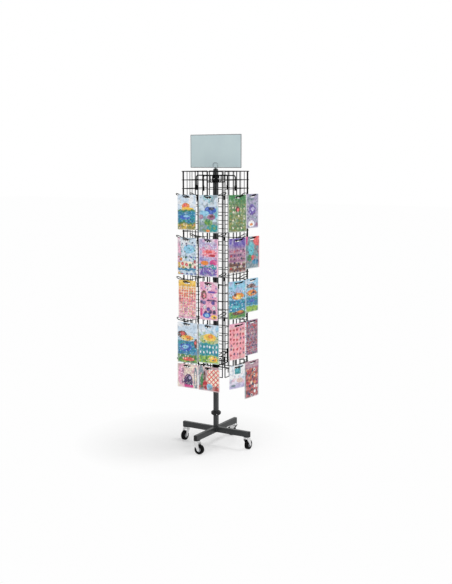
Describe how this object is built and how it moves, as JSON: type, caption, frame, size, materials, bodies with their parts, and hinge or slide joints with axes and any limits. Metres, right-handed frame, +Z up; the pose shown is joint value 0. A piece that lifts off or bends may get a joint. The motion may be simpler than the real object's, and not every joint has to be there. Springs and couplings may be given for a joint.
{
  "type": "rotating hook display stand",
  "caption": "Four-sided wire grid tower with sloping hooks and hanging packs, turning on a post on a cross base with swivel casters, and a bare sign board on top.",
  "frame": {"origin": "on the floor, on the axis that the tower turns about", "axes": "+Z up; -Y is the normal of the front panel and of the sign board's front; +X is the normal of the right panel"},
  "size_m": [0.4758, 0.4758, 1.88],
  "materials": {
    "frame_paint": "satin dark grey powder coat",
    "wire_paint": "satin black powder coat",
    "black_plastic": "moulded black plastic",
    "zinc": "bright zinc plate",
    "wheel_grey": "moulded grey plastic",
    "tyre_black": "matt black tread",
    "nylon": "natural nylon",
    "clip_grey": "pale grey coated wire",
    "sign_grey": "smooth pale grey board, bare",
    "pack_film": "printed film, plain colour fields"
  },
  "bodies": {
    "base": {"base_post": "frame_paint", "leg_front": "frame_paint", "leg_right": "frame_paint", "leg_back": "frame_paint", "leg_left": "frame_paint", "leg_caps": "black_plastic", "spindle": "zinc", "post_plugs": "black_plastic", "thrust_washer": "nylon", "pivot_collar": "black_plastic", "lock_screw": "zinc", "caster_mounts": "zinc"},
    "swivel_front": {"fork_front": "zinc", "axle_front": "zinc"},
    "wheel_front": {"hub_front": "wheel_grey", "tyre_front": "tyre_black"},
    "swivel_right": {"fork_right": "zinc", "axle_right": "zinc"},
    "wheel_right": {"hub_right": "wheel_grey", "tyre_right": "tyre_black"},
    "swivel_back": {"fork_back": "zinc", "axle_back": "zinc"},
    "wheel_back": {"hub_back": "wheel_grey", "tyre_back": "tyre_black"},
    "swivel_left": {"fork_left": "zinc", "axle_left": "zinc"},
    "wheel_left": {"hub_left": "wheel_grey", "tyre_left": "tyre_black"},
    "tower": {"mast": "frame_paint", "mast_bushes": "nylon", "mast_cap": "black_plastic", "top_bracket_hub": "wire_paint", "top_bracket_arms": "wire_paint", "bottom_bracket_hub": "wire_paint", "bottom_bracket_arms": "wire_paint", "bracket_screws": "zinc", "panel_front": "wire_paint", "panel_right": "wire_paint", "panel_back": "wire_paint", "panel_left": "wire_paint", "hook_bars_front": "wire_paint", "hook_bars_right": "wire_paint", "hook_bars_back": "wire_paint", "hook_bars_left": "wire_paint", "prongs_front": "wire_paint", "prongs_right": "wire_paint", "prongs_back": "wire_paint", "prongs_left": "wire_paint", "sign_clip": "clip_grey", "sign_board": "sign_grey", "packs_front_left": "pack_film", "packs_front_right": "pack_film", "packs_right_near": "pack_film", "packs_right_far": "pack_film"}
  },
  "joints": [
    {"name": "tower_turn", "type": "hinge", "parent": "base", "child": "tower", "pos_m": [0, 0, 0.2], "axis": [0, 0, 1], "continuous": true},
    {"name": "caster_front_swivel", "type": "hinge", "parent": "base", "child": "swivel_front", "pos_m": [0, -0.218, 0.075], "axis": [0, 0, 1], "continuous": true},
    {"name": "caster_front_roll", "type": "hinge", "parent": "swivel_front", "child": "wheel_front", "pos_m": [0.017, -0.218, 0.029], "axis": [0, 1, 0], "continuous": true},
    {"name": "caster_right_swivel", "type": "hinge", "parent": "base", "child": "swivel_right", "pos_m": [0.218, 0, 0.075], "axis": [0, 0, 1], "continuous": true},
    {"name": "caster_right_roll", "type": "hinge", "parent": "swivel_right", "child": "wheel_right", "pos_m": [0.218, 0.017, 0.029], "axis": [1, 0, 0], "continuous": true},
    {"name": "caster_back_swivel", "type": "hinge", "parent": "base", "child": "swivel_back", "pos_m": [0, 0.218, 0.075], "axis": [0, 0, 1], "continuous": true},
    {"name": "caster_back_roll", "type": "hinge", "parent": "swivel_back", "child": "wheel_back", "pos_m": [-0.017, 0.218, 0.029], "axis": [0, 1, 0], "continuous": true},
    {"name": "caster_left_swivel", "type": "hinge", "parent": "base", "child": "swivel_left", "pos_m": [-0.218, 0, 0.075], "axis": [0, 0, 1], "continuous": true},
    {"name": "caster_left_roll", "type": "hinge", "parent": "swivel_left", "child": "wheel_left", "pos_m": [-0.218, -0.017, 0.029], "axis": [1, 0, 0], "continuous": true}
  ]
}
